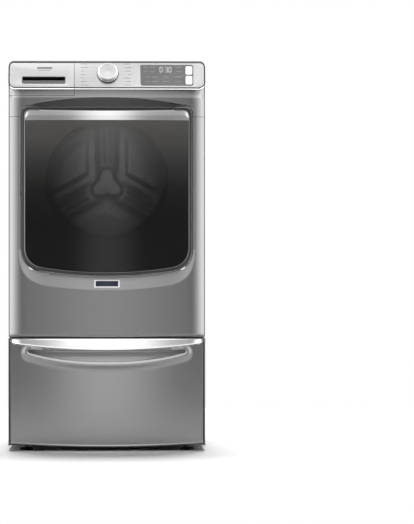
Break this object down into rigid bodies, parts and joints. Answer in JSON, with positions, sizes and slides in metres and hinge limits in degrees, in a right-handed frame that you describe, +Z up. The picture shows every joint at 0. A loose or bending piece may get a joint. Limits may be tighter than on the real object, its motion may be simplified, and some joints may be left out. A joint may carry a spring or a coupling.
{
  "type": "front load washing machine",
  "caption": "Front load washing machine with a tilted control console, rectangular glass door and detergent drawer, standing on a pedestal with a storage drawer.",
  "frame": {"origin": "on the floor, under the middle of the machine's bounding box", "axes": "+Z up, front facing -Y, +X to the right as seen from the front"},
  "size_m": [0.686, 0.8, 1.362],
  "materials": {
    "slate_paint": "metallic slate, satin clearcoat",
    "dark_paint": "satin charcoal",
    "silver_plastic": "silver metallic lacquer",
    "bright_trim": "polished",
    "steel": "mill finish",
    "black_plastic": "glossy black",
    "tinted_glass": "dark tint, polished",
    "clear_glass": "pressed clear glass",
    "white_plastic": "matt moulded",
    "grey_rubber": "matt moulded",
    "concrete": "cast concrete",
    "casting": "as cast"
  },
  "bodies": {
    "cabinet": {"side_panel_left": "slate_paint", "side_panel_right": "slate_paint", "rear_panel": "steel", "base_pan": "steel", "top_panel": "dark_paint", "front_panel": "slate_paint", "upper_front_panel": "slate_paint", "badge_plate": "bright_trim", "console_fascia": "silver_plastic", "display_window": "tinted_glass", "knob_ring": "bright_trim", "control_board": "black_plastic", "dispenser_housing": "white_plastic", "inlet_valve": "white_plastic", "door_lock": "black_plastic", "hinge_bracket": "steel", "bellows": "grey_rubber", "top_brace": "steel", "spring_left": "steel", "spring_right": "steel", "damper_left": "black_plastic", "damper_right": "black_plastic", "drain_pump": "white_plastic", "sump_hose": "grey_rubber", "pedestal_case": "slate_paint", "foot_front_left": "black_plastic", "foot_front_right": "black_plastic", "foot_rear_left": "black_plastic", "foot_rear_right": "black_plastic"},
    "door": {"door_frame": "black_plastic", "door_window": "tinted_glass", "door_handle": "bright_trim", "door_inner": "black_plastic", "door_bowl": "clear_glass", "door_strike": "steel"},
    "dispenser": {"dispenser_front": "silver_plastic", "dispenser_tray": "white_plastic"},
    "knob": {"cycle_knob": "silver_plastic"},
    "power": {"power_button": "silver_plastic"},
    "start": {"start_button": "silver_plastic"},
    "tub": {"tub_front": "white_plastic", "tub_rear": "white_plastic", "tub_bearing": "steel", "counterweight": "concrete", "motor": "casting", "damper_rod_left": "steel", "damper_rod_right": "steel", "drive_belt": "grey_rubber"},
    "drum": {"drum_basket": "steel", "drum_spider": "casting", "drum_pulley": "casting", "baffle_1": "white_plastic", "baffle_2": "white_plastic", "baffle_3": "white_plastic"},
    "motor_rotor": {"motor_pulley": "steel"},
    "slides": {"rail_left": "steel", "rail_right": "steel"},
    "drawer": {"drawer_front": "slate_paint", "drawer_trim": "bright_trim", "drawer_box": "steel"}
  },
  "joints": [
    {"name": "door_swing", "type": "hinge", "parent": "cabinet", "child": "door", "pos_m": [-0.278, -0.358, 0.94], "axis": [0, 0, -1], "range_deg": [0, 120]},
    {"name": "dispenser_slide", "type": "slide", "parent": "cabinet", "child": "dispenser", "axis": [0, -1, 0], "range_m": [0, 0.2]},
    {"name": "knob_turn", "type": "hinge", "parent": "cabinet", "child": "knob", "pos_m": [0.003, -0.32904, 1.314], "axis": [0, -0.9336, 0.3584], "continuous": true},
    {"name": "power_press", "type": "slide", "parent": "cabinet", "child": "power", "axis": [0, 0.9336, -0.3584], "range_m": [0, 0.0015], "stiffness_N_per_m": 800},
    {"name": "start_press", "type": "slide", "parent": "cabinet", "child": "start", "axis": [0, 0.9336, -0.3584], "range_m": [0, 0.0015], "stiffness_N_per_m": 800},
    {"name": "tub_suspension", "type": "slide", "parent": "cabinet", "child": "tub", "axis": [0, 0, 1], "range_m": [-0.01, 0.01], "stiffness_N_per_m": 15000, "springref_m": 0.0225, "deforming": ["bellows", "spring_left", "spring_right", "sump_hose"]},
    {"name": "drum_spin", "type": "hinge", "parent": "tub", "child": "drum", "pos_m": [0, 0, 0.94], "axis": [0, 1, 0], "continuous": true},
    {"name": "motor_spin", "type": "hinge", "parent": "tub", "child": "motor_rotor", "pos_m": [0.13, 0.28, 0.6], "axis": [0, 1, 0], "continuous": true},
    {"name": "drawer_slide", "type": "slide", "parent": "cabinet", "child": "drawer", "axis": [0, -1, 0], "range_m": [0, 0.4]},
    {"name": "rail_slide", "type": "slide", "parent": "cabinet", "child": "slides", "axis": [0, -1, 0], "range_m": [0, 0.2]}
  ],
  "couplings": [
    {"joint": "motor_spin", "follows": "drum_spin", "ratio": 10},
    {"joint": "rail_slide", "follows": "drawer_slide", "ratio": 0.5}
  ]
}
